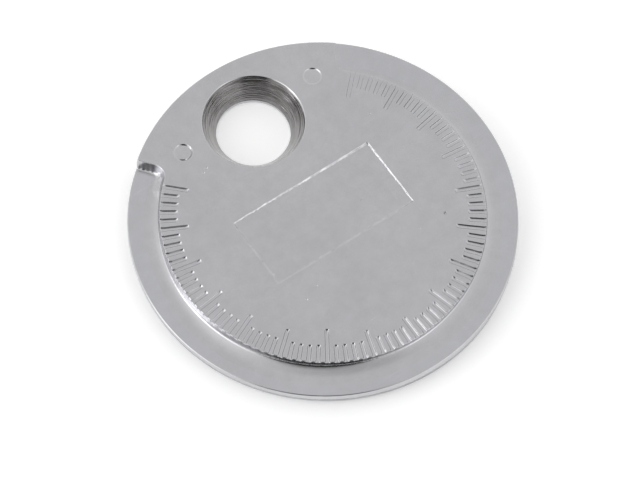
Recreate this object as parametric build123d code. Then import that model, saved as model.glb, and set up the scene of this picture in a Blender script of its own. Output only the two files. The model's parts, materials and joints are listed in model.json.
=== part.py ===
"""Ramp gauge for spark plug gaps: one zinc casting, plated all over.

The rim is a ramp. It gets thicker round the disc, on both faces alike, so the place where it
stops in an electrode gap is the size of that gap. The front is marked in thousandths of an
inch and the back in twentieths of a millimetre. The hole hangs on a key ring, and its mouth is
countersunk.

Frame: the back face lies on z = 0 with the disc's axis on Z, the marked inch face is up, and
the hole is on +Y. Angles are counted from +X, anticlockwise seen from the front.
"""
import os
from math import asin, cos, degrees, radians, sin, tan

from build123d import *

inch = 25.4

# Disc and the rim ramp
disc_radius = 18.0
edge_break = 0.12           # bevel on the full-thickness part of the rim
thin_gap = 0.020 * inch     # rim thickness at the first line
thick_gap = 0.100 * inch    # rim thickness at the last line
end_step = 0.13             # what each face still stands above the ramp at the last line
ledge_width = 3.0           # radial width of the ramp
scale_start = 135.0         # degrees, first line
scale_sweep = 270.0         # degrees from the first line to the last
thin_run_out = 6.3          # degrees of ramp before the first line
thick_run_out = 6.5         # degrees of ramp after the last line
wall_draft = 10.0           # degrees, so that the casting leaves its die
corner_radius = 1.25        # where the riser turns out to the rim at each end of the ramp
foot_bevel = 0.22           # softens the corner between the riser and the ramp

# Lines, sunk in both faces and open to the riser
inch_division = 0.001 * inch
metric_division = 0.05
line_width = 0.40
line_depth = 0.12
line_corner = 0.11          # bevel on the two inner corners of a line
short_line = 1.65           # length from the riser inward
long_line = 2.65
longest_line = 3.2          # only at the middle mark of the inch scale
longest_index = 30          # which inch line that is, 0.050 in
inch_long_every = 5
metric_long_every = 2
line_wander = 1.15          # degrees that the inch lines run off an even scale, at most
wander_turn = 16.9          # degrees that the wander is turned round the disc

# Hole with a one-sided countersink
hole_edge_distance = 6.6    # from the rim to the hole's axis
mouth_radius = 4.8
throat_radius = 3.5
countersink_angle = 60.0

# Shallow panel in the middle of the front, and the marks of two ejector pins
panel_length = 15.1
panel_width = 7.45
panel_depth = 0.2
panel_slope = 45.0          # degrees off vertical of the panel's four walls
pin_mark_radius = 0.85
pin_mark_depth = 0.05
pin_mark_inset = 3.7        # from the rim to a mark's centre
pin_mark_spread = 30.6      # degrees from the hole's axis to each mark

zinc_density = 6.6e-3       # g per cubic millimetre

# Worked out from the above
body_thickness = thick_gap + 2 * end_step
mid_height = body_thickness / 2
riser_radius = disc_radius - ledge_width
ledge_start = scale_start - thin_run_out
ledge_end = scale_start + scale_sweep + thick_run_out
thickness_per_degree = (thick_gap - thin_gap) / scale_sweep
hole_centre = disc_radius - hole_edge_distance
line_overrun = foot_bevel  # a line's cut runs out over the riser's foot


def rim_thickness(angle):
    """Thickness of the rim ramp at an angle."""
    return thin_gap + (angle - scale_start) * thickness_per_degree


def angle_of_gap(gap):
    """Angle at which the rim is as thick as a gap."""
    return scale_start + (gap - thin_gap) / thickness_per_degree


def inch_line_angle(index):
    """Angle of an inch line: its place on an even scale, with the wander of the cut lines."""
    even = angle_of_gap(thin_gap + index * inch_division)
    return even - line_wander * cos(radians(even + wander_turn))


def disc():
    """Full-thickness blank with a broken edge."""
    blank = Cylinder(disc_radius, body_thickness, align=(Align.CENTER, Align.CENTER, Align.MIN))
    return chamfer(blank.edges().filter_by(GeomType.CIRCLE), edge_break)


def boss_outline():
    """What keeps its full height on a face: the middle and the sector round the hole."""
    reach = 2 * disc_radius
    ends = [radians(ledge_end - 360), radians(ledge_start)]
    spread = [ends[0], sum(ends) / 2, ends[1]]
    corners = [(0, 0)] + [(reach * cos(a), reach * sin(a)) for a in spread]
    outline = Circle(riser_radius) + make_face(Polyline(*corners, close=True))
    turns = [
        outline.vertices().sort_by_distance((riser_radius * cos(a), riser_radius * sin(a)))[0]
        for a in ends
    ]
    return fillet(turns, corner_radius)


def boss():
    """Front boss with its draft, to size at the face and carried on above it."""
    outline = Plane.XY.offset(body_thickness) * boss_outline()
    below = extrude(outline, amount=mid_height, dir=(0, 0, -1), taper=-wall_draft)
    above = extrude(outline, amount=mid_height, taper=wall_draft)
    return below + above


def ramp_space():
    """Space over the front ramp: a radial bar swept up a helix, less the boss.

    Its lower face is the ramp. The edge where that meets the boss is bevelled, which leaves
    the soft foot of the riser on the casting.
    """
    overlap = 1.0
    spare_angle = 4.0
    start = ledge_start - spare_angle
    sweep_angle = ledge_end + spare_angle - start
    rise = sweep_angle * thickness_per_degree / 2
    bar_inner = riser_radius - overlap
    bar_outer = disc_radius + overlap
    bar_height = body_thickness
    low = mid_height + rim_thickness(start) / 2
    path = Helix(pitch=rise * 360 / sweep_angle, height=rise, radius=(bar_inner + bar_outer) / 2)
    bar_align = (Align.CENTER, Align.MIN)
    section = Plane(path @ 0, x_dir=(1, 0, 0), z_dir=(0, -1, 0))
    section *= Rectangle(bar_outer - bar_inner, bar_height, align=bar_align)
    swept = sweep(section, path=path, binormal=Edge.make_line((0, 0, 0), (0, 0, 1)))
    space = Pos(0, 0, low) * Rot(0, 0, start) * swept - boss()
    ramp = space.faces().sort_by(Axis.Z)[0]
    foot = ramp.edges().sort_by(SortBy.LENGTH)[:-1]
    return chamfer(foot, foot_bevel)


def line_cutter(angle, length):
    """Outline of one sunk line, bevelled at its inner end and running out over the riser."""
    bar = Rectangle(length + line_overrun, line_width, align=(Align.MIN, Align.CENTER))
    bar = chamfer(bar.vertices().group_by(Axis.X)[0], line_corner)
    return Rot(0, 0, angle) * Pos(riser_radius - length, 0) * bar


def inch_length(index):
    """Length of an inch line by its number."""
    if index == longest_index:
        return longest_line
    return long_line if index % inch_long_every == 0 else short_line


def inch_lines():
    """Cutters for the front lines, one for each thousandth of an inch."""
    count = round((thick_gap - thin_gap) / inch_division)
    cutters = Sketch() + [
        line_cutter(inch_line_angle(i), inch_length(i))
        for i in range(count + 1)
    ]
    face_level = body_thickness - line_depth
    return extrude(Plane.XY.offset(face_level) * cutters, amount=line_depth * 2)


def metric_lines():
    """Cutters for the back lines, at each twentieth of a millimetre that the ramp holds."""
    first = int(thin_gap / metric_division) + 1
    last = int(thick_gap / metric_division)
    cutters = Sketch() + [
        line_cutter(
            angle_of_gap(i * metric_division),
            long_line if i % metric_long_every == 0 else short_line,
        )
        for i in range(first, last + 1)
    ]
    return extrude(Plane.XY.offset(-line_depth) * cutters, amount=line_depth * 2)


def ring_hole():
    """Throat and countersink, open to the front."""
    half_angle = radians(countersink_angle / 2)
    depth = (mouth_radius - throat_radius) / tan(half_angle)
    above = 0.5
    throat = Cylinder(throat_radius, 2 * body_thickness)
    cone = Cone(
        throat_radius,
        mouth_radius + above * tan(half_angle),
        depth + above,
        align=(Align.CENTER, Align.CENTER, Align.MIN),
    )
    return Pos(0, hole_centre, 0) * (throat + Pos(0, 0, body_thickness - depth) * cone)


def panel():
    """Shallow rectangular panel with sloping walls."""
    floor_cut = panel_depth * tan(radians(panel_slope))
    top = Plane.XY.offset(body_thickness) * Rectangle(panel_length, panel_width)
    floor = Plane.XY.offset(body_thickness - panel_depth) * Rectangle(
        panel_length - 2 * floor_cut, panel_width - 2 * floor_cut
    )
    return loft([floor, top])


def pin_marks():
    """Two round ejector pin marks, one each side of the hole."""
    mark = Cylinder(pin_mark_radius, 2 * pin_mark_depth)
    place = Pos(disc_radius - pin_mark_inset, 0, body_thickness)
    return [Rot(0, 0, 90 + side * pin_mark_spread) * place * mark for side in (-1, 1)]


def gap_gauge():
    """The whole casting."""
    front_space = ramp_space()
    back_space = mirror(front_space, about=Plane.XY.offset(mid_height))
    body = disc() - front_space - back_space
    body -= [inch_lines(), metric_lines(), ring_hole(), panel(), *pin_marks()]
    return body


gauge = gap_gauge()
hole_reach = degrees(asin(mouth_radius / hole_centre))
print("volume", round(gauge.volume, 2), "mm3, mass", round(gauge.volume * zinc_density, 2), "g")
print("full sector", round(360 - ledge_end + ledge_start, 2), "deg, hole takes", round(2 * hole_reach, 2))

os.makedirs("parts", exist_ok=True)
export_step(gauge, "parts/gap_gauge.step")
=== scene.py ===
import json
import random
from math import atan2, cos, degrees, hypot, pi, radians, sin, sqrt, tan

import bmesh
import bpy
import numpy as np
from mathutils import Matrix, Vector, geometry, noise


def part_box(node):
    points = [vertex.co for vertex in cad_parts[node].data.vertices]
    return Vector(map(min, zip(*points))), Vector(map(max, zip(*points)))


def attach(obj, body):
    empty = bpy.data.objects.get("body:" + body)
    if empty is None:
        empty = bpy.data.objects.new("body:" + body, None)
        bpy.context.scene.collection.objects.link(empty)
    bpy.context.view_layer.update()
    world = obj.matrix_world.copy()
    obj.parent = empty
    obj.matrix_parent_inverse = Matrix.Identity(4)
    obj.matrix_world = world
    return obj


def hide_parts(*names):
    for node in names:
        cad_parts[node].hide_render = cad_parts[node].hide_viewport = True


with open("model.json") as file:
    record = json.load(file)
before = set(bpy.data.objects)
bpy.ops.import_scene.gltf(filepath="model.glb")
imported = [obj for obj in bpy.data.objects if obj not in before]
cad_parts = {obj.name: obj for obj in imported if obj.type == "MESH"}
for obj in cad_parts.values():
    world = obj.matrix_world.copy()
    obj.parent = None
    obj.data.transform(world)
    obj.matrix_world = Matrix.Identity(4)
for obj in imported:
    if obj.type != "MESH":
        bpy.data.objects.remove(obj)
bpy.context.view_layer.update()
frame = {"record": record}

dice = random.Random(7)
metre = 0.001   # the gauge is drawn in millimetres and degrees, and scaled once at the end

# the outer size and the hole come from the frame
lowCorner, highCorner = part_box("gap_gauge")
discRadius = min(-lowCorner.x, highCorner.x, -lowCorner.y, highCorner.y) / metre
discThick = (highCorner.z - lowCorner.z) / metre
midHeight = discThick / 2
ringHole = next(m for m in frame["record"]["mounts"] if m["name"] == "ring_hole")
print("frame loaded, radius", round(discRadius, 3), "thickness", round(discThick, 3))

gauge = {
    "thinGap": 0.508,           # rim thickness at the first line, 0.020 in
    "thickGap": 2.54,           # and at the last, 0.100 in
    "scaleStart": 135.0,
    "scaleSweep": 270.0,
    "ledgeStart": 128.7,        # where the ramp runs out, thin end and thick end
    "ledgeEnd": 411.5,
    "riserRadius": 15.0,
    "cornerRadius": 1.25,       # where the riser turns out to the rim
    "wallDraft": 10.0,
    "topRound": 0.06,           # worn top edge of the riser
    "topShare": 0.35,           # the most of a low riser that the worn edge may take
    "footRound": 0.28,          # soft corner where the riser meets the ramp
    "wallFoot": 0.2,            # a little tighter along the thin end's wall
    "wallReach": 1.5,           # degrees
    "endFoot": 1.05,            # much softer in the corner at the thin end
    "endFootPlace": (15.2, 133.5),    # radius and angle where it is softest
    "endFootFade": 2.0,         # gone this far off
    "endFootGain": 1.4,         # above 1 it is at its softest over a small patch
    "footRough": 0.016,         # cast grain of the wall and its foot
    "footGrain": 4.5,           # per mm
    "grainStart": 0.15,         # below the top edge
    "endRough": 3.0,            # times rougher at the thin end
    "endRoughReach": 3.0,       # degrees
    "tailSlope": 0.27,          # beyond the foot the ramp still rises a little towards the riser
    "tailSwell": (0.7, 1.35),   # less of that at the left, more from the bottom on
    "tailTurn": (180, 40),      # angle where it starts to change, and over how many degrees
    "tailFade": (5.0, 8.0),     # degrees from the ramp's ends where it starts, and to its full rise
    "tailLength": 1.5,
    "tailStub": 0.1,            # its length where there is no rise
    "tailPower": 2.5,
    "tailDrop": 0.8,            # where the riser is lower than this the rise gets smaller with it
    "edgeRound": 0.10,
    "seamHeight": 0.03,         # parting line left round the rim by the two die halves
    "seamWidth": 0.07,
    "seamCrest": 0.3,           # share of its width that is flat
    "mouthRound": 0.03,         # where a line breaks out of the riser
    "mouthClear": 1.4,          # mouth rounds from a line's floor to the next row below
    "guard": 0.08,              # flat strip kept beside each rounded edge
    "wallStep": 0.1,            # mm between the columns of the end walls
    "arcStep": 0.6,             # degrees between those of the riser, outside the lines
    "rimStep": 1.0,             # degrees between those of the rim
    "cornerSteps": 14,
    "edgeSteps": 4,
    "topSteps": 2,
    "footSteps": 6,
    "tailSteps": 4,
    "normalWeight": 80,         # shading follows the large faces beside each rounded edge
}

lines = {
    "width": 0.40,
    "depth": 0.135,
    "sectionPower": 5.5,        # steep walls over a rounded floor
    "cornerRound": 0.13,
    "lip": 0.018,               # worn edge
    "deepest": 0.8,             # the most of the riser's height that a line may take
    "least": 0.002,             # a shallower line leaves the riser's edge whole
    "flare": 0.05,              # how much a line opens where it breaks the riser's edge
    "flareLength": 0.3,
    "inchStep": 0.0254,
    "inchCount": 81,
    "inchLongEvery": 5,
    "metricStep": 0.05,
    "metricFirst": 11,          # in metric steps
    "metricLast": 50,
    "metricLongEvery": 2,
    "short": 1.66,
    "long": 2.66,
    "special": {0: 2.46, 30: 3.25, 40: 2.25},    # odd lengths on the inch side
    "shortSpread": 0.04,
    "longSpread": 0.10,
    "depthSpread": 0.14,
    # how deep the lines are pressed on the way round
    "depthAngles": (135, 250, 275, 318, 340, 365, 420),
    "depthScales": (1.0, 1.0, 1.1, 0.87, 1.0, 1.35, 1.35),
    "drift": 1.15,              # degrees that the inch lines run off an even scale, at most
    "driftTurn": 16.9,
    "wander": 0.014,            # sideways wobble of a line's walls
    "wanderGrain": 2.2,         # per mm
    "seedStep": 3.7,            # keeps the wobble of one line apart from the next
    "seedSide": 50,
    "bandInner": 11.5,          # radius where the band of lines ends
    "bandMargin": 1.5,          # degrees of it beyond the first and the last line
    # the mesh of one line: distances of its columns and rows inside its edge
    "frontColumns": (0.14, 0.09, 0.05, 0.02, 0.0, -0.02, -0.06),
    "backColumns": (0.12, 0.05, 0.01, -0.03),
    "endRows": (0.10, 0.05, 0.018, -0.018, -0.06),
    "firstRow": 0.2,            # from the riser
    "shortRows": 6,
    "longRows": 3,
}

hole = {
    "centre": ringHole["pos_m"][1] / metre,
    "throat": ringHole["dims"]["r_mm"],
    "throatLength": ringHole["dims"]["length_mm"],
    "mouth": 4.8,
    "segments": 96,
    "rows": 120,
    "marks": 0.013,             # height of the tool marks down the cone
    "markPitch": 0.3,           # marks per row
    "chatter": (1.3, 2.4),      # how fast they change round the hole, and come and go
    "fadePitch": 0.05,
    "lipRound": 0.05,
    "burr": 0.07,
    "burrSteps": 6,
    "burrStart": 0.86,          # share of half a turn
    "coneFoot": 0.16,           # the cone's last row above the throat
    # in lip sizes: out from the mouth and down, the cone's first row, out from the throat and up
    "lipProfile": ((1.0, 0.0), (0.35, 0.25), (-0.6, 1.2)),
    "coneTop": 2.5,
    "backProfile": ((0.0, 1.2), (0.3, 0.3), (1.2, 0.0)),
}

panel = {
    "length": 15.1,
    "width": 7.45,
    "depth": 0.2,               # at its deepest corner
    "askew": (0.42, 0.42),      # share of the depth lost towards the left and the bottom
    "wall": 0.15,
    "steepRight": 0.65,         # the right wall is steeper by this share
    "lipRound": 0.04,
    "cornerRound": 0.12,
    "tightCorner": 0.03,        # the smallest that a corner gets further in
    "cornerSteps": 4,
    "step": 0.10,
    "rough": 0.045,             # how uneven the walls are
    "waves": ((1.1, 4, 1.0), (2.9, 15, 1.3)),    # per mm along, per mm down, strength
    "speckle": 0.4,             # grain of the walls, as a share of the depth
    "speckleGrain": (7, 30),    # per mm along, per mm down
    "scratches": [
        # end, end, width, depth
        ((6.55, -0.7), (6.45, -2.9), 0.07, 0.014),
        ((-3.2, 1.1), (-1.9, 1.5), 0.05, 0.006),
    ],
}

pins = {
    "radius": 0.85,
    "depth": 0.06,
    "inset": 3.7,               # from the rim
    "spread": 30.6,             # degrees either side of the hole
    "segments": 48,
    "uneven": 0.35,
    "unevenGrain": 2.5,         # per mm
    "marks": [
        # which way each pin leaned, and the groove beside it
        {"tilt": 0.35, "towards": 50, "groove": 0.0, "grooveTowards": 0, "grooveSpread": 1.0},
        {"tilt": 0.75, "towards": 30, "groove": 0.11, "grooveTowards": 285, "grooveSpread": 0.95},
    ],
}

pitSegments = 10
pits = [
    # small pits in the plate: angle, distance from the middle, radius, depth
    (123.4, 11.66, 0.16, 0.07),
    (126.2, 11.72, 0.14, 0.06),
    (32.5, 11.20, 0.12, 0.06),
    (325.7, 11.18, 0.15, 0.16),
    (315.0, 8.93, 0.11, 0.05),
    (225.4, 9.02, 0.14, 0.07),
    (230.3, 7.51, 0.12, 0.06),
]

scratched = {
    "steps": 8,
    "wander": 0.05,
    "waves": 3,                 # along one scratch
    "guard": 0.03,
    "tipGuard": 0.04,
    "face": [
        # both ends as distance from the middle and angle, width, depth
        ((8.4, 317.6), (8.9, 318.4), 0.045, 0.010),
        ((10.6, 236.0), (10.1, 239.5), 0.05, 0.010),
    ],
}

angleSlack = 1.0    # degrees before the thin end that don't count as a turn further on

# worked out from the above
startAngle, endAngle = gauge["ledgeStart"], gauge["ledgeEnd"]
gapPerDegree = (gauge["thickGap"] - gauge["thinGap"]) / gauge["scaleSweep"]
rimInner = discRadius - gauge["seamHeight"] - gauge["edgeRound"]
rimGuard = rimInner - gauge["guard"]
draft = tan(radians(gauge["wallDraft"]))

meshVerts = []
meshFaces = []
faceSlots = []
plateSlot, coneSlot, rampSlot = 0, 1, 2     # the materials in the order they are given


def ledgeHeight(angle):
    # front ramp at an angle counted on from the thin end
    while angle < startAngle - angleSlack:
        angle += 360
    return midHeight + (gauge["thinGap"] + (angle - gauge["scaleStart"]) * gapPerDegree) / 2


def lineAngle(gap, side):
    even = gauge["scaleStart"] + (gap - gauge["thinGap"]) / gapPerDegree
    if side < 0:
        return even
    return even - lines["drift"] * cos(radians(even + lines["driftTurn"]))


def polar(radius, angle):
    return Vector((radius * cos(radians(angle)), radius * sin(radians(angle))))


def angleOf(spot):
    found = degrees(atan2(spot[1], spot[0]))
    while found < startAngle - angleSlack:
        found += 360
    return found


def addVert(x, y, z, side=1):
    # side -1 is the back face, the mirror image of the front
    meshVerts.append((x, y, z if side > 0 else discThick - z))
    return len(meshVerts) - 1


def addStrip(first, second, slot=plateSlot, closed=False):
    count = len(first)
    for i in range(count if closed else count - 1):
        j = (i + 1) % count
        meshFaces.append((first[i], first[j], second[j], second[i]))
        faceSlots.append(slot)


def addGrid(rows, slot=plateSlot, closed=False):
    for first, second in zip(rows, rows[1:]):
        addStrip(first, second, slot, closed)


def fillFlat(loops, slot=plateSlot):
    # triangles between an outline and the holes in it
    ids, edges = [], []
    for loop in loops:
        start = len(ids)
        ids += loop
        edges += [(start + i, start + (i + 1) % len(loop)) for i in range(len(loop))]
    flat = [Vector(meshVerts[v][:2]) for v in ids]
    found = geometry.delaunay_2d_cdt(flat, edges, [], 0, 1e-7, True)
    if len(found[0]) != len(ids):
        print("fill changed its corners", len(ids), len(found[0]))
    # a triangle stays if a line from its middle crosses the loops an odd number of times
    starts = np.array([flat[a][:] for a, b in edges])
    ends = np.array([flat[b][:] for a, b in edges])
    for tri in found[2]:
        corners = [ids[found[3][corner][0]] for corner in tri]
        x, y = (sum(meshVerts[c][axis] for c in corners) / 3 for axis in (0, 1))
        spans = (starts[:, 1] > y) != (ends[:, 1] > y)
        a, b = starts[spans], ends[spans]
        reach = a[:, 0] + (y - a[:, 1]) * (b[:, 0] - a[:, 0]) / (b[:, 1] - a[:, 1])
        if np.count_nonzero(reach > x) % 2:
            meshFaces.append(tuple(corners))
            faceSlots.append(slot)


def eased(share):
    share = min(1.0, max(0.0, share))
    return share * share * (3 - 2 * share)


def footAt(spot):
    # foot radius at a point of the outline
    softest = polar(*gauge["endFootPlace"])
    near = eased(1 - (spot - softest).length / gauge["endFootFade"])
    onWall = abs(angleOf(spot) - startAngle) < gauge["wallReach"]
    foot = gauge["wallFoot" if onWall else "footRound"]
    return foot + (gauge["endFoot"] - foot) * min(1.0, gauge["endFootGain"] * near)


def tailAt(spot):
    # the rise is full along the riser and gone at both ends
    angle = angleOf(spot)
    near = min(angle - startAngle, endAngle - angle)
    start, reach = gauge["tailFade"]
    turnStart, turnSweep = gauge["tailTurn"]
    turned = min(1.0, max(0.0, (angle - turnStart) / turnSweep))
    low, high = gauge["tailSwell"]
    return eased((near - start) / reach) * (low + (high - low) * turned)


def riserProfile(drop, softness, tail):
    # (distance out from the outline, depth) down the drafted wall, with a worn top and a soft foot
    # that runs out in a gentle rise
    turn = radians(90 - gauge["wallDraft"])
    top = min(gauge["topRound"], gauge["topShare"] * drop)
    tail *= min(1.0, drop / gauge["tailDrop"])
    slope = gauge["tailSlope"] * tail
    length = gauge["tailStub"] + (gauge["tailLength"] - gauge["tailStub"]) * min(1.0, tail)
    floor = drop - slope * length / gauge["tailPower"]
    last = atan2(slope, 1)
    foot = min(softness, (floor - top) / (cos(last) - cos(turn)))
    start = -top * tan(turn / 2)
    edge = (floor - foot * (cos(last) - cos(turn))) * draft + foot * sin(turn)
    rows = [(start - gauge["guard"], 0.0)]
    for i in range(gauge["topSteps"] + 1):
        way = turn * i / gauge["topSteps"]
        rows.append((start + top * sin(way), top * (1 - cos(way))))
    for i in range(gauge["footSteps"] + 1):
        way = turn + (last - turn) * i / gauge["footSteps"]
        rows.append((edge - foot * sin(way), floor - foot * (cos(last) - cos(way))))
    reach = rows[-1][0]
    for i in range(1, gauge["tailSteps"] + 1):
        share = i / gauge["tailSteps"]
        rise = (drop - floor) * (1 - share) ** gauge["tailPower"]
        rows.append((reach + length * share, drop - rise))
    return rows + [(reach + length + gauge["guard"], drop)]


def openedProfile(rows, depth):
    # the same profile where a line breaks out through its top
    mouth, steps = gauge["mouthRound"], gauge["topSteps"]
    mouth = min(mouth, (rows[-1][1] - depth) / 3)

    def outAt(level):
        for (outA, levelA), (outB, levelB) in zip(rows[1:], rows[2:]):
            if levelA <= level <= levelB and levelB > levelA:
                return outA + (outB - outA) * (level - levelA) / (levelB - levelA)
        return rows[-2][0]

    opened = [(outAt(depth) - mouth - gauge["guard"], depth)]
    for i in range(steps + 1):
        share = i / steps
        level = depth + mouth * share ** 2
        opened.append((outAt(level) - mouth * (1 - share) ** 2, level))
    lower = rows[steps + 2:-1]
    kept = [row for row in lower if row[1] > depth + mouth * gauge["mouthClear"]]
    squeezed = len(lower) - len(kept)
    for i in range(squeezed):
        level = depth + mouth + (kept[0][1] - depth - mouth) * (i + 1) / (squeezed + 1)
        opened.append((outAt(level), level))
    return opened + kept + [rows[-1]]


def wallRows(spot, normal, depth=0.0):
    # the profile stood on one point of the outline, with the ledge height taken at its foot
    height = ledgeHeight(angleOf(spot))
    softness, tail = footAt(spot), tailAt(spot)
    for _ in range(2):
        rows = riserProfile(discThick - height, softness, tail)
        height = ledgeHeight(angleOf(spot + normal * rows[-2][0]))
    sunk = min(depth, lines["deepest"] * (discThick - height))
    if sunk > lines["least"]:
        rows = openedProfile(rows, sunk)
    rows = [(out, discThick - level) for out, level in rows]
    last = rows[-1][0]
    return rows[:-1] + [(last, ledgeHeight(angleOf(spot + normal * last)))]


def rimWall(wallAngle, towards):
    # where the rows of an end wall cross the rim: their angles and heights
    straight, normal = polar(1, wallAngle), polar(1, wallAngle + 90 * towards)
    crossings = []
    for offset, height in wallRows(straight * rimGuard, normal):
        along = sqrt(rimGuard ** 2 - offset ** 2)
        spot = straight * along + normal * offset
        crossings.append((wallAngle + towards * degrees(atan2(offset, along)), height))
    return crossings


def rimColumns():
    # every column of the rim: angle, height of the front edge
    thinWall = rimWall(startAngle, 1)
    thickWall = rimWall(endAngle, -1)[::-1]
    ledge = []
    first, last = thinWall[-1][0], thickWall[0][0]
    count = round((last - first) / gauge["rimStep"])
    for i in range(1, count):
        angle = first + (last - first) * i / count
        ledge.append((angle, ledgeHeight(angle)))
    sector = []
    first, last = thickWall[-1][0], thinWall[0][0] + 360
    count = round((last - first) / gauge["rimStep"])
    for i in range(1, count):
        sector.append((first + (last - first) * i / count, discThick))
    return thinWall, ledge, thickWall, sector


def buildRim():
    # rounded edges and the side, front and back sharing their columns
    parts = rimColumns()
    columns = [column for part in parts for column in part]
    edge, steps, crest = gauge["edgeRound"], gauge["edgeSteps"], gauge["seamCrest"]
    sideRadius = discRadius - gauge["seamHeight"]
    turns = [pi / 2 * i / steps for i in range(steps + 1)]
    profile = [(rimInner + edge * sin(turn), edge * (1 - cos(turn))) for turn in turns]
    front, back = [], []
    for radius, below in [(rimGuard, 0.0)] + profile:
        front.append([addVert(*polar(radius, a), z - below) for a, z in columns])
        back.append([addVert(*polar(radius, a), z - below, -1) for a, z in columns])
    seamRows = []
    for radius, above in ((sideRadius, 1), (discRadius, crest), (discRadius, -crest), (sideRadius, -1)):
        height = midHeight + above * gauge["seamWidth"]
        seamRows.append([addVert(*polar(radius, a), height) for a, _ in columns])
    addGrid(front + seamRows + back[::-1], closed=True)
    cuts = [0]
    for part in parts:
        cuts.append(cuts[-1] + len(part))
    return [[loop[a:b] for a, b in zip(cuts, cuts[1:])] for loop in (front[0], back[0])]


def lineDepth(along, aside, lineEnd, scale):
    # depth inside the rounded outline of one line; along is the distance from the disc's middle
    half, corner = lines["width"] / 2, lines["cornerRound"]
    qx, qy = lineEnd + corner - along, abs(aside) - (half - corner)
    outside = hypot(max(qx, 0), max(qy, 0)) + min(max(qx, qy), 0) - corner
    lip = lines["lip"]
    share = 1 - min(1.0, max(0.0, 1 + outside / half)) ** lines["sectionPower"]
    if outside > -lip:
        # the plate rounds the edge off
        edge = 1 - (1 - lip / half) ** lines["sectionPower"]
        share = edge * ((lip - outside) / (2 * lip)) ** 2 if outside < lip else 0.0
    return lines["depth"] * scale * share


def bandColumns(marks, side):
    # columns of the line band: angle, sideways offset, line
    half = lines["width"] / 2
    offsets = [half - inside for inside in lines["frontColumns" if side > 0 else "backColumns"]]
    across = [-o for o in reversed(offsets)] + [0.0] + offsets
    columns = [(marks[0]["angle"] - lines["bandMargin"], 0.0, None)]
    for number, mark in enumerate(marks):
        columns += [(mark["angle"], offset, mark) for offset in across]
        if number + 1 < len(marks):
            columns.append(((mark["angle"] + marks[number + 1]["angle"]) / 2, 0.0, None))
    columns.append((marks[-1]["angle"] + lines["bandMargin"], 0.0, None))
    return columns


def columnRadii(mark):
    # radii of the rows of one column, gathered at the ends of the short and long lines
    cluster = lines["endRows"]
    shortEnd = mark["end"] if mark and mark["isShort"] else gauge["riserRadius"] - lines["short"]
    longEnd = mark["end"] if mark and not mark["isShort"] else gauge["riserRadius"] - lines["long"]
    flareAt = gauge["riserRadius"] - lines["flareLength"]
    radii = [gauge["riserRadius"] - lines["firstRow"], flareAt]
    count, stop = lines["shortRows"], shortEnd + cluster[0]
    radii += [flareAt + (stop - flareAt) * i / count for i in range(1, count)]
    radii += [shortEnd + c for c in cluster]
    start, stop = shortEnd + cluster[-1], longEnd + cluster[0]
    count = lines["longRows"]
    radii += [start + (stop - start) * i / count for i in range(1, count)]
    radii += [longEnd + c for c in cluster]
    return radii + [lines["bandInner"]]


def linePlace(angle, offset, radius, mark):
    # flared and slightly wandering walls, at a constant width down the line
    if not mark or not offset:
        return polar(radius, angle)
    near = max(0.0, (radius - gauge["riserRadius"] + lines["flareLength"]) / lines["flareLength"])
    wander = lines["wander"] * noise.noise(Vector((radius * lines["wanderGrain"], mark["seed"], 0.0)))
    moved = offset + (lines["flare"] * near ** 2 + wander) * (1 if offset > 0 else -1)
    return polar(radius, angle + degrees(moved / radius))


def buildBand(marks, side):
    # the lines and the land between them; gives its border and the columns that reach the riser
    columns = bandColumns(marks, side)
    grid, outerSpots = [], []
    for angle, offset, mark in columns:
        column = []
        spot = linePlace(angle, offset, gauge["riserRadius"], mark)
        depth = lineDepth(gauge["riserRadius"], offset, mark["end"], mark["scale"]) if mark else 0.0
        outerSpots.append((spot, spot.normalized(), depth))
        for radius in columnRadii(mark):
            place = linePlace(angle, offset, radius, mark)
            depth = 0.0
            if mark:
                depth = lineDepth(radius, offset, mark["end"], mark["scale"])
                depth = min(depth, lines["deepest"] * (discThick - ledgeHeight(angle)))
            column.append(addVert(place.x, place.y, discThick - depth, side))
        grid.append(column)
    return grid, outerSpots


def outlineSpots(band):
    # points and outward normals along the riser's top outline, thin wall to thick wall
    corner, riser = gauge["cornerRadius"], gauge["riserRadius"]
    reach = riser + corner
    tangent = sqrt(reach ** 2 - corner ** 2)
    tuck = degrees(atan2(corner, tangent))
    cornerSteps = gauge["cornerSteps"]
    wallSteps = round((rimGuard - tangent) / gauge["wallStep"])

    def endPart(wallAngle, towards):
        straight, normal = polar(1, wallAngle), polar(1, wallAngle + 90 * towards)
        spots = [(straight * (rimGuard + (tangent - rimGuard) * i / wallSteps), normal)
                 for i in range(wallSteps)]
        centre = polar(reach, wallAngle + towards * tuck)
        first = atan2(-normal.y, -normal.x)
        sweep = -towards * (pi / 2 - radians(tuck))
        for i in range(cornerSteps + 1):
            way = first + sweep * i / cornerSteps
            ray = Vector((cos(way), sin(way)))
            spots.append((centre + ray * corner, -ray))
        return spots, wallAngle + towards * tuck

    def arcPart(first, last):
        count = max(1, round(abs(last - first) / gauge["arcStep"]))
        return [(polar(riser, a), polar(1, a)) for a in
                [first + (last - first) * i / count for i in range(1, count)]]

    thin, thinEnd = endPart(startAngle, 1)
    thick, thickEnd = endPart(endAngle, -1)
    bandFirst, bandLast = angleOf(band[0][0]), angleOf(band[-1][0])
    before = [(p, n, 0.0) for p, n in thin + arcPart(thinEnd, bandFirst)]
    after = [(p, n, 0.0) for p, n in arcPart(bandLast, thickEnd) + thick[::-1]]
    return before, after


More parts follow.
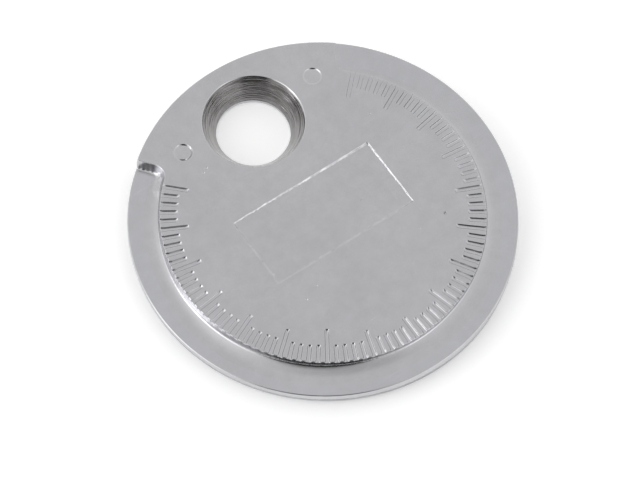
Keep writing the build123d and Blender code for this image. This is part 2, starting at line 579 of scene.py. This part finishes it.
def buildFace(marks, rimLoop, side, holes):
    thinRim, ledgeRim, thickRim, sectorRim = rimLoop
    grid, outerSpots = buildBand(marks, side)
    before, after = outlineSpots(outerSpots)
    spots = before[1:] + outerSpots + after[:-1]
    riser = [list(thinRim)]
    footEnd = gauge["topSteps"] + gauge["footSteps"]
    for spot, normal, depth in spots:
        rows = wallRows(spot, normal, depth)
        column = []
        nearEnd = abs(angleOf(spot) - startAngle) < gauge["endRoughReach"]
        rough = gauge["footRough"] * (gauge["endRough"] if nearEnd else 1)
        for i, (offset, height) in enumerate(rows[:-1]):
            place = spot + normal * offset
            if i < footEnd and height < discThick - gauge["grainStart"]:
                height += rough * noise.noise(Vector((*(place * gauge["footGrain"]), side)))
            column.append(addVert(place.x, place.y, height, side))
        place = spot + normal * rows[-1][0]
        column.append(addVert(place.x, place.y, rows[-1][1], side))
        riser.append(column)
    riser.append(list(thickRim)[::-1])
    addGrid(riser)
    # the band hangs on the riser's first row
    firstBand = len(before)
    for i, column in enumerate(grid):
        column.insert(0, riser[firstBand + i][0])
    addGrid(grid)
    # ramp
    foot = [column[-1] for column in riser]
    fillFlat([foot + ledgeRim[::-1]], rampSlot)
    # full-height face
    top = [column[0] for column in riser]
    outline = top[:firstBand] + grid[0][:-1] + [column[-1] for column in grid]
    outline += grid[-1][:-1][::-1] + top[firstBand + len(grid):] + sectorRim
    fillFlat([outline] + holes)


def ringLoop(centre, radius, height, segments, side=1):
    return [addVert(centre[0] + radius * cos(2 * pi * i / segments),
                    centre[1] + radius * sin(2 * pi * i / segments), height, side)
            for i in range(segments)]


def buildHole():
    # countersink with its tool marks, the short throat and a slightly rounded back edge
    centre = (0.0, hole["centre"])
    lip, count = hole["lipRound"], hole["segments"]
    slope = (hole["mouth"] - hole["throat"]) / (discThick - hole["throatLength"])
    loops = [ringLoop(centre, hole["mouth"] + lip + gauge["guard"], discThick, count)]
    loops += [ringLoop(centre, hole["mouth"] + out * lip, discThick - down * lip, count)
              for out, down in hole["lipProfile"]]
    top, bottom = discThick - hole["coneTop"] * lip, hole["throatLength"] + hole["coneFoot"]
    rows = hole["rows"]
    around, fading = hole["chatter"]
    for i in range(rows + 1):
        height = top + (bottom - top) * i / rows
        plain = hole["throat"] + (height - hole["throatLength"]) * slope
        loop = []
        for k in range(count):
            ray = polar(1, 360 * k / count)
            # the cutter chattered, so each mark comes and goes
            wave = noise.noise(Vector((*(ray * around), i * hole["markPitch"])))
            wave *= 1 + noise.noise(Vector((*(ray * fading), i * hole["fadePitch"])))
            place = ray * (plain + hole["marks"] * wave * (0 if i in (0, rows) else 1))
            loop.append(addVert(place.x, place.y + hole["centre"], height))
        loops.append(loop)
    # burr that the countersink left round the throat
    burr, steps = hole["burr"], hole["burrSteps"]
    for i in range(steps + 1):
        way = pi * (hole["burrStart"] - i / steps)
        loops.append(ringLoop(centre, hole["throat"] + burr - burr * cos(pi - way),
                              hole["throatLength"] + burr * sin(way), count))
    loops.append(ringLoop(centre, hole["throat"], hole["throatLength"] - burr, count))
    loops += [ringLoop(centre, hole["throat"] + out * lip, up * lip, count)
              for out, up in hole["backProfile"]]
    widest = hole["throat"] + hole["backProfile"][-1][0] * lip
    loops.append(ringLoop(centre, widest + gauge["guard"], 0.0, count))
    # the cut metal runs from the lip's last loop to the burr's first
    cutRows = range(3, rows + 5)
    for i, (first, second) in enumerate(zip(loops, loops[1:])):
        addStrip(first, second, coneSlot if i in cutRows else plateSlot, closed=True)
    return loops[0], loops[-1]


def panelShare(spot):
    # share of the panel's full depth at a point
    lostX = panel["askew"][0] * (1 - 2 * spot.x / panel["length"])
    lostY = panel["askew"][1] * (1 - 2 * spot.y / panel["width"])
    return 1 - lostX / 2 - lostY / 2


def panelLoop(grow, depth, rough):
    # rounded rectangle grown or shrunk from the panel's outline; its walls are a little uneven
    halfX, halfY = panel["length"] / 2 + grow, panel["width"] / 2 + grow
    corner = max(panel["tightCorner"], panel["cornerRound"] + grow)
    spots = []
    for signX, signY, first in ((1, 1, 0), (-1, 1, 90), (-1, -1, 180), (1, -1, 270)):
        middle = Vector((signX * (halfX - corner), signY * (halfY - corner)))
        arc = [middle + polar(corner, first + 90 * i / panel["cornerSteps"])
               for i in range(panel["cornerSteps"] + 1)]
        side, half = (panel["length"], halfX) if first in (0, 180) else (panel["width"], halfY)
        count = round(side / panel["step"])
        nextWay = polar(1, first + 180)
        rest = (half - corner) * 2
        spots += arc + [arc[-1] + nextWay * rest * i / count for i in range(1, count)]
    loop = []
    for spot in spots:
        wave = sum(strength * noise.noise(Vector((*(spot * along), depth * down)))
                   for along, down, strength in panel["waves"])
        spot = spot * (1 + rough * panel["rough"] * wave / spot.length)
        spot.x -= panel["steepRight"] * min(0.0, grow) * max(0.0, spot.x / halfX) ** 2
        along, down = panel["speckleGrain"]
        speckle = panel["speckle"] * noise.noise(Vector((*(spot * along), depth * down)))
        level = depth * (panelShare(spot) + rough * speckle)
        loop.append(addVert(spot.x, spot.y, discThick - level))
    return loop


def buildPanel():
    # each row of the walls: how far outside the panel's edge, depth, share of the unevenness
    depth, lip, guard, wall = panel["depth"], panel["lipRound"], gauge["guard"], panel["wall"]
    loops = [
        panelLoop(lip + guard, 0, 0),
        panelLoop(lip, 0, 0),
        panelLoop(0.3 * lip, 0.15 * lip, 0.5),
        panelLoop(-0.6 * lip, 0.8 * lip, 1),
        panelLoop(-wall / 2, depth / 2, 1),
        panelLoop(-wall + lip, depth - 0.9 * lip, 1),
        panelLoop(-wall - 0.3 * lip, depth - 0.2 * lip, 0.7),
        panelLoop(-wall - 1.3 * lip, depth, 0),
        panelLoop(-wall - 1.3 * lip - guard, depth, 0),
    ]
    addGrid(loops, closed=True)
    cuts = []
    for first, last, width, deep in panel["scratches"]:
        floor = discThick - depth * panelShare(Vector(first))
        cuts.append(buildScratch(Vector(first), Vector(last), width, deep, floor))
    fillFlat([loops[-1]] + cuts)
    return loops[0]


def buildPit(centre, radius, depth):
    # rounded like the inside of a ball: shares of the radius and the depth
    steps = ((1.3, 0), (1.08, 0), (1.0, 0.06), (0.82, 0.42), (0.58, 0.78), (0.3, 0.96))
    loops = [ringLoop(centre, radius * r, discThick - depth * d, pitSegments) for r, d in steps]
    addGrid(loops, closed=True)
    fillFlat([loops[-1]])
    return loops[0]


def buildPin(centre, mark):
    # ejector mark: the pin stood a little low and a little askew, and left a groove on one side;
    # shares of the radius, the depth and the groove
    steps = ((1.16, 0, 0), (1.06, 0, 0), (1.03, 0.12, 0.1), (1.0, 0.4, 0.6), (0.96, 0.8, 1),
             (0.92, 1.0, 0.9), (0.88, 1.08, 0.3), (0.84, 1.02, 0.05), (0.78, 1.0, 0), (0.68, 1.0, 0))
    loops = []
    for reach, dish, moat in steps:
        loop = []
        for i in range(pins["segments"]):
            angle = 360 * i / pins["segments"]
            ray = polar(pins["radius"] * reach, angle)
            tilt = 1 + mark["tilt"] * cos(radians(angle - mark["towards"]))
            bump = noise.noise(Vector((*(ray * pins["unevenGrain"]), mark["towards"])))
            uneven = 1 + pins["uneven"] * bump
            groove = max(0.0, cos(radians(angle - mark["grooveTowards"]) / mark["grooveSpread"]))
            deep = pins["depth"] * tilt * dish * uneven + mark["groove"] * groove * moat * uneven
            loop.append(addVert(centre.x + ray.x, centre.y + ray.y, discThick - deep))
        loops.append(loop)
    addGrid(loops, closed=True)
    fillFlat([loops[-1]])
    return loops[0]


def buildScratch(first, last, width, depth, floor):
    # a fine V-shaped scratch, pointed at both ends
    steps, guard, tipGuard = scratched["steps"], scratched["guard"], scratched["tipGuard"]
    along = (last - first).normalized()
    across = Vector((-along.y, along.x))
    left, middle, right = [], [], []
    leftGuard, rightGuard = [], []
    for i in range(1, steps):
        share = i / steps
        wave = noise.noise(Vector((share * scratched["waves"], first.x, 0)))
        spot = first.lerp(last, share) + across * scratched["wander"] * wave
        half = width / 2 * sin(pi * share) ** 0.5
        left.append(addVert(*(spot + across * half), floor))
        middle.append(addVert(*spot, floor - depth * sin(pi * share) ** 0.5))
        right.append(addVert(*(spot - across * half), floor))
        leftGuard.append(addVert(*(spot + across * (half + guard)), floor))
        rightGuard.append(addVert(*(spot - across * (half + guard)), floor))
    tip, end = addVert(*first, floor), addVert(*last, floor)
    beforeTip = addVert(*(first - along * tipGuard), floor)
    afterEnd = addVert(*(last + along * tipGuard), floor)
    addGrid([left, middle, right])
    for corner, side in ((tip, 0), (end, -1)):
        meshFaces.append((corner, left[side], middle[side]))
        meshFaces.append((corner, middle[side], right[side]))
        faceSlots.extend((plateSlot, plateSlot))
    border = [beforeTip] + leftGuard + [afterEnd] + rightGuard[::-1]
    addStrip([tip] + left + [end] + right[::-1], border, closed=True)
    return border


def pressedAt(angle):
    # the lines aren't equally deep all the way round
    return float(np.interp(angle, lines["depthAngles"], lines["depthScales"]))


def markList(gaps, longEvery, firstNumber, special, side):
    marks = []
    for number, gap in enumerate(gaps, firstNumber):
        isShort = number % longEvery != 0
        length = lines["short"] if isShort else lines["long"]
        spread = lines["shortSpread"] if isShort else lines["longSpread"]
        length = special.get(number, length) + dice.uniform(-spread, spread) * (number not in special)
        angle = lineAngle(gap, side)
        marks.append({"angle": angle, "isShort": isShort, "end": gauge["riserRadius"] - length,
                      "seed": number * lines["seedStep"] + side * lines["seedSide"],
                      "scale": pressedAt(angle) - dice.uniform(0, lines["depthSpread"])})
    return marks


def buildGauge():
    frontRim, backRim = buildRim()
    mouth, backEdge = buildHole()
    holes = [mouth, buildPanel()]
    for turn, mark in zip((-1, 1), pins["marks"]):
        holes.append(buildPin(polar(discRadius - pins["inset"], 90 + turn * pins["spread"]), mark))
    for angle, radius, size, depth in pits:
        holes.append(buildPit(polar(radius, angle), size, depth))
    for first, last, width, depth in scratched["face"]:
        holes.append(buildScratch(polar(*first), polar(*last), width, depth, discThick))
    first, last = lines["metricFirst"], lines["metricLast"]
    inchGaps = [gauge["thinGap"] + lines["inchStep"] * i for i in range(lines["inchCount"])]
    metricGaps = [lines["metricStep"] * i for i in range(first, last + 1)]
    inchMarks = markList(inchGaps, lines["inchLongEvery"], 0, lines["special"], 1)
    metricMarks = markList(metricGaps, lines["metricLongEvery"], first, {}, -1)
    buildFace(inchMarks, frontRim, 1, holes)
    buildFace(metricMarks, backRim, -1, [backEdge])
    print("gauge drawn,", len(meshVerts), "points and", len(meshFaces), "faces")


def makeObject(name):
    mesh = bpy.data.meshes.new(name)
    points = [(x * metre, y * metre, z * metre + lowCorner.z) for x, y, z in meshVerts]
    mesh.from_pydata(points, [], meshFaces)
    mesh.polygons.foreach_set("material_index", faceSlots)
    edit = bmesh.new()
    edit.from_mesh(mesh)
    bmesh.ops.recalc_face_normals(edit, faces=edit.faces)
    openEdges = sum(1 for edge in edit.edges if len(edge.link_faces) != 2)
    loose = sum(1 for vert in edit.verts if not vert.link_faces)
    volume = edit.calc_volume() / metre ** 3
    print("open edges", openEdges, "loose points", loose, "volume", round(volume, 1), "mm3")
    edit.to_mesh(mesh)
    edit.free()
    mesh.polygons.foreach_set("use_smooth", [True] * len(mesh.polygons))
    made = bpy.data.objects.new(name, mesh)
    bpy.context.scene.collection.objects.link(made)
    return made


buildGauge()
casting = makeObject("gauge_casting")
weighting = casting.modifiers.new("faceWeights", "WEIGHTED_NORMAL")
weighting.weight = gauge["normalWeight"]
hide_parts("gap_gauge")
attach(casting, "root")


plate = {
    "colour": (0.570, 0.569, 0.588, 1),
    "roughness": 0.2,
    "mottle": 0.9,
    "flecks": 0.5,
    "scratches": 0.6,
    "peel": 0.0022,             # mm, soft waviness of the plating
}
ramp = {
    "colour": (0.576, 0.577, 0.604, 1),
    "roughness": 0.18,
    "mottle": 0.7,
    "flecks": 0.35,
    "scratches": 0.9,
    "peel": 0.0018,
}
turned = {
    "colour": (0.32, 0.312, 0.31, 1),
    "roughness": 0.10,
    "mottle": 1.6,
    "flecks": 0.0,
    "scratches": 0.2,
    "peel": 0.0006,
    "rings": 0.012,             # mm, fine rings between the tool marks
    "ringPitch": 20.0,          # per mm
    "ringDrift": 0.25,          # how fast they change round the hole
    "ringNoise": (1.0, 3.0, 0.6),
}
cast = {
    # noises as times per mm, detail and roughness
    "blotch": (0.22, 3.0, 0.55),
    "cloud": (0.9, 4.0, 0.6),
    "grain": (7.0, 2.0, 0.5),
    "waviness": (2.1, 3.0, 0.5),
    "blotchTone": 0.035,        # share of the brightness, either way
    "cloudTone": 0.022,
    "grainTone": 0.02,
    "cloudBlue": 0.008,         # and how much bluer or yellower
    "cloudRough": 0.03,
    "fleckCells": 0.55,         # per mm
    "fleckSize": 0.055,
    "fleckTone": 0.25,
    "fleckRough": 0.2,
    "fleckDepth": 0.004,        # mm
    "hairWays": ((0.5, 22.0), (-1.1, 30.0)),    # turn, and how fine across
    "hairAlong": 0.35,
    "hairNoise": (0.5, 1.0, 0.4),
    "hairFrom": 0.70,
    "hairTo": 0.78,
    "hairTone": 0.05,
    "hairRough": 0.08,
    "hairDepth": 0.0015,        # mm
}


def addNode(tree, kind, **values):
    node = tree.nodes.new(kind)
    for key, value in values.items():
        setattr(node, key, value)
    return node


def addSocket(tree, name, kind, way):
    return tree.interface.new_socket(name=name, in_out=way, socket_type="NodeSocket" + kind)


def wire(tree, node, **inputs):
    # a link where a socket is given, else a value; underscores stand for spaces
    for key, value in inputs.items():
        socket = node.inputs[key.replace("_", " ")]
        if isinstance(value, bpy.types.NodeSocket):
            tree.links.new(value, socket)
        else:
            socket.default_value = value
    return node


def addMath(tree, operation, first, second, third=None):
    node = addNode(tree, "ShaderNodeMath", operation=operation)
    for socket, value in zip(node.inputs, (first, second, third)):
        if isinstance(value, bpy.types.NodeSocket):
            tree.links.new(value, socket)
        elif value is not None:
            socket.default_value = value
    return node.outputs[0]


def addVector(tree, operation, first, second):
    node = addNode(tree, "ShaderNodeVectorMath", operation=operation)
    tree.links.new(first, node.inputs[0])
    node.inputs[1].default_value = second
    return node


def addNoise(tree, where, settings):
    scale, detail, roughness = settings
    node = addNode(tree, "ShaderNodeTexNoise")
    wire(tree, node, Vector=where, Scale=scale, Detail=detail, Roughness=roughness)
    return node.outputs["Fac"]


def addRange(tree, value, low, high, toLow=0.0, toHigh=1.0):
    node = addNode(tree, "ShaderNodeMapRange")
    wire(tree, node, Value=value, From_Min=low, From_Max=high, To_Min=toLow, To_Max=toHigh)
    return node.outputs["Result"]


def addSwing(tree, value, strength, spread=0.2):
    # a noise stays near one half, and this spreads it evenly either side of none
    return addRange(tree, value, 0.5 - spread, 0.5 + spread, -strength, strength)


def millimetres(tree):
    # object coordinates in millimetres
    where = addNode(tree, "ShaderNodeTexCoord")
    scale = addNode(tree, "ShaderNodeVectorMath", operation="SCALE")
    scale.inputs["Scale"].default_value = 1 / metre
    tree.links.new(where.outputs["Object"], scale.inputs[0])
    return scale.outputs[0]


def castGrainGroup():
    # cast and plated surface: cloudy tone, small flecks, hairlines and a soft waviness
    tree = bpy.data.node_groups.new("castGrain", "ShaderNodeTree")
    addSocket(tree, "Colour", "Color", "INPUT")
    for name in ("Roughness", "Mottle", "Flecks", "Scratches", "Peel"):
        addSocket(tree, name, "Float", "INPUT")
    addSocket(tree, "Colour", "Color", "OUTPUT")
    addSocket(tree, "Roughness", "Float", "OUTPUT")
    addSocket(tree, "Height", "Float", "OUTPUT")
    given = addNode(tree, "NodeGroupInput").outputs
    put = addNode(tree, "NodeGroupOutput")
    where = millimetres(tree)

    # cloudy tone
    cloud = addNoise(tree, where, cast["cloud"])
    tone = addSwing(tree, cloud, cast["cloudTone"])
    for name in ("blotch", "grain"):
        part = addSwing(tree, addNoise(tree, where, cast[name]), cast[name + "Tone"])
        tone = addMath(tree, "ADD", tone, part)

    # flecks: round specks of different sizes, none in half of the cells
    cells = addNode(tree, "ShaderNodeTexVoronoi")
    wire(tree, cells, Vector=where, Scale=cast["fleckCells"])
    parts = addNode(tree, "ShaderNodeSeparateColor")
    wire(tree, parts, Color=cells.outputs["Color"])
    size = addRange(tree, parts.outputs[0], 0.5, 1.0, 0.0, cast["fleckSize"])
    fleck = addMath(tree, "LESS_THAN", cells.outputs["Distance"], size)
    fleck = addMath(tree, "MULTIPLY", fleck, given["Flecks"])

    # hairlines, two ways
    hair = 0.0
    for turn, across in cast["hairWays"]:
        mapping = addNode(tree, "ShaderNodeMapping")
        wire(tree, mapping, Vector=where, Rotation=(0.0, 0.0, turn),
             Scale=(cast["hairAlong"], across, 1.0))
        line = addNoise(tree, mapping.outputs[0], cast["hairNoise"])
        hair = addMath(tree, "MAXIMUM", hair, addRange(tree, line, cast["hairFrom"], cast["hairTo"]))
    hair = addMath(tree, "MULTIPLY", hair, given["Scratches"])

    tone = addMath(tree, "MULTIPLY_ADD", tone, given["Mottle"], 1.0)
    tone = addMath(tree, "MULTIPLY_ADD", hair, cast["hairTone"], tone)
    tone = addMath(tree, "MULTIPLY_ADD", fleck, -cast["fleckTone"], tone)
    blue = addMath(tree, "ADD", tone, addSwing(tree, cloud, cast["cloudBlue"], 0.15))
    shade = addNode(tree, "ShaderNodeCombineColor")
    wire(tree, shade, Red=tone, Green=tone, Blue=blue)
    mixed = addNode(tree, "ShaderNodeMix", data_type="RGBA", blend_type="MULTIPLY")
    wire(tree, mixed, Factor=1.0, A=given["Colour"], B=shade.outputs[0])

    cloudy = addSwing(tree, cloud, cast["cloudRough"])
    rough = addMath(tree, "MULTIPLY_ADD", cloudy, given["Mottle"], given["Roughness"])
    rough = addMath(tree, "MULTIPLY_ADD", hair, cast["hairRough"], rough)
    rough = addMath(tree, "MULTIPLY_ADD", fleck, cast["fleckRough"], rough)

    height = addMath(tree, "MULTIPLY", addNoise(tree, where, cast["waviness"]), given["Peel"])
    height = addMath(tree, "MULTIPLY_ADD", hair, -cast["hairDepth"], height)
    height = addMath(tree, "MULTIPLY_ADD", fleck, -cast["fleckDepth"], height)
    wire(tree, put, Colour=mixed.outputs["Result"], Roughness=rough, Height=height)
    return tree


castGrain = castGrainGroup()


def ringHeight(tree, settings):
    # fine rings round the hole's own middle
    moved = addVector(tree, "SUBTRACT", millimetres(tree), (0.0, hole["centre"], 0.0)).outputs[0]
    reach = addNode(tree, "ShaderNodeVectorMath", operation="LENGTH")
    tree.links.new(addVector(tree, "MULTIPLY", moved, (1.0, 1.0, 0.0)).outputs[0], reach.inputs[0])
    parts = addNode(tree, "ShaderNodeSeparateXYZ")
    tree.links.new(moved, parts.inputs[0])
    joined = addNode(tree, "ShaderNodeCombineXYZ")
    wire(tree, joined, X=addMath(tree, "MULTIPLY", reach.outputs["Value"], settings["ringPitch"]),
         Y=addMath(tree, "MULTIPLY", parts.outputs["X"], settings["ringDrift"]),
         Z=addMath(tree, "MULTIPLY", parts.outputs["Y"], settings["ringDrift"]))
    rings = addNoise(tree, joined.outputs[0], settings["ringNoise"])
    return addMath(tree, "MULTIPLY", rings, settings["rings"])


def metalMaterial(name, settings):
    material = bpy.data.materials.new(name)
    material.use_nodes = True
    tree = material.node_tree
    shader = tree.nodes["Principled BSDF"]
    grain = addNode(tree, "ShaderNodeGroup", node_tree=castGrain)
    for key in ("colour", "roughness", "mottle", "flecks", "scratches", "peel"):
        grain.inputs[key.capitalize()].default_value = settings[key]
    height = grain.outputs["Height"]
    if "rings" in settings:
        height = addMath(tree, "ADD", height, ringHeight(tree, settings))
    bump = addNode(tree, "ShaderNodeBump")
    wire(tree, bump, Distance=metre, Height=height)
    wire(tree, shader, Metallic=1.0, Base_Color=grain.outputs["Colour"],
         Roughness=grain.outputs["Roughness"], Normal=bump.outputs["Normal"])
    return material


for name, settings in (("nickelPlate", plate), ("turnedNickel", turned), ("rampNickel", ramp)):
    casting.data.materials.append(metalMaterial(name, settings))
print("nickel and turned metal ready")

# solved from points on the rim, the riser and the hole in the photo
camera = {
    "azimuth": 231.4394,
    "elevation": 64.0569,
    "roll": 4.1865,
    "distance": 255.4626,       # mm
    "target": (-1.892, -2.1554),    # on the front face
    "lens": 157.5,
    "sensor": 36.0,
    "clipStart": 0.01,          # metres
}


def skyWay(azimuth, elevation):
    az, el = radians(azimuth), radians(elevation)
    return Vector((cos(el) * cos(az), cos(el) * sin(az), sin(el)))


def makeCamera():
    back = skyWay(camera["azimuth"], camera["elevation"])
    right = Vector((0, 0, 1)).cross(back).normalized()
    up = back.cross(right)
    roll = radians(camera["roll"])
    camX = right * cos(roll) + up * sin(roll)
    camY = up * cos(roll) - right * sin(roll)
    data = bpy.data.cameras.new("camera")
    data.lens = camera["lens"]
    data.sensor_width = camera["sensor"]
    data.clip_start = camera["clipStart"]
    made = bpy.data.objects.new("camera", data)
    turn = Matrix((camX, camY, back)).transposed().to_4x4()
    place = (Vector((*camera["target"], discThick)) + back * camera["distance"]) * metre
    made.matrix_world = Matrix.Translation(place) @ turn
    bpy.context.scene.collection.objects.link(made)
    bpy.context.scene.camera = made


room = {
    "sky": 0.85,                # plain light from all round
    "zones": [
        # azimuth, elevation, inner and outer angle, strength
        (51, 70, 6, 26, -0.10),     # grey ceiling that the flat face shows
        (168, 40, 12, 28, 1.00),    # window on the left
        (162, 16, 3, 15, 1.80),     # its bright lower part
        (150, 14, 8, 34, 0.40),     # the wall beside it
        (146, 64, 6, 30, 0.25),     # the ceiling above it
        (302, 24, 6, 28, 0.25),     # small fill on the right
        (290, 30, 3, 14, 0.70),     # and its bright middle
        (230, 56, 4, 26, -0.75),    # the dark side of the room, where the camera stands
        (234, 34, 12, 31, -0.80),   # the same lower down
        (238, 5, 14, 32, -0.80),    # and near the floor
        (216, 18, 5, 18, -0.50),    # its edge towards the window
        (240, 82, 4, 22, -0.30),    # and straight above
    ],
    "darkest": 0.04,
    "floorSize": 4.0,           # metres
    "floorGap": 0.00002,        # keeps the floor just clear of the gauge
    "floorColour": (0.93, 0.93, 0.93, 1),
    "floorRoughness": 0.9,
    "floorShine": 0.1,
    "floorGlow": 0.30,          # lifts the floor to white for the camera and for reflections
}


def makeSky():
    world = bpy.data.worlds.new("studio")
    bpy.context.scene.world = world
    world.use_nodes = True
    tree = world.node_tree
    where = addNode(tree, "ShaderNodeTexCoord").outputs["Generated"]
    total = room["sky"]
    for azimuth, elevation, inner, outer, strength in room["zones"]:
        facing = addVector(tree, "DOT_PRODUCT", where, skyWay(azimuth, elevation)).outputs["Value"]
        zone = addNode(tree, "ShaderNodeMapRange", interpolation_type="SMOOTHSTEP")
        wire(tree, zone, Value=facing, From_Min=cos(radians(outer)), From_Max=cos(radians(inner)),
             To_Max=strength)
        total = addMath(tree, "ADD", total, zone.outputs["Result"])
    total = addMath(tree, "MAXIMUM", total, room["darkest"])
    wire(tree, tree.nodes["Background"], Color=(1, 1, 1, 1), Strength=total)


def makeFloor():
    place = (0, 0, lowCorner.z - room["floorGap"])
    bpy.ops.mesh.primitive_plane_add(size=room["floorSize"], location=place)
    floor = bpy.context.object
    floor.name = "floor"
    material = bpy.data.materials.new("paleFloor")
    material.use_nodes = True
    tree = material.node_tree
    rays = addNode(tree, "ShaderNodeLightPath").outputs
    seen = addMath(tree, "ADD", rays["Is Camera Ray"], rays["Is Glossy Ray"])
    seen = addMath(tree, "ADD", seen, rays["Is Transmission Ray"])
    glow = addMath(tree, "MULTIPLY", addMath(tree, "MINIMUM", seen, 1.0), room["floorGlow"])
    shader = tree.nodes["Principled BSDF"]
    wire(tree, shader, Base_Color=room["floorColour"], Roughness=room["floorRoughness"],
         Specular_IOR_Level=room["floorShine"], Emission_Color=(1, 1, 1, 1), Emission_Strength=glow)
    floor.data.materials.append(material)


makeCamera()
makeSky()
makeFloor()
bpy.context.scene.view_settings.view_transform = "Standard"
print("camera and lights set")
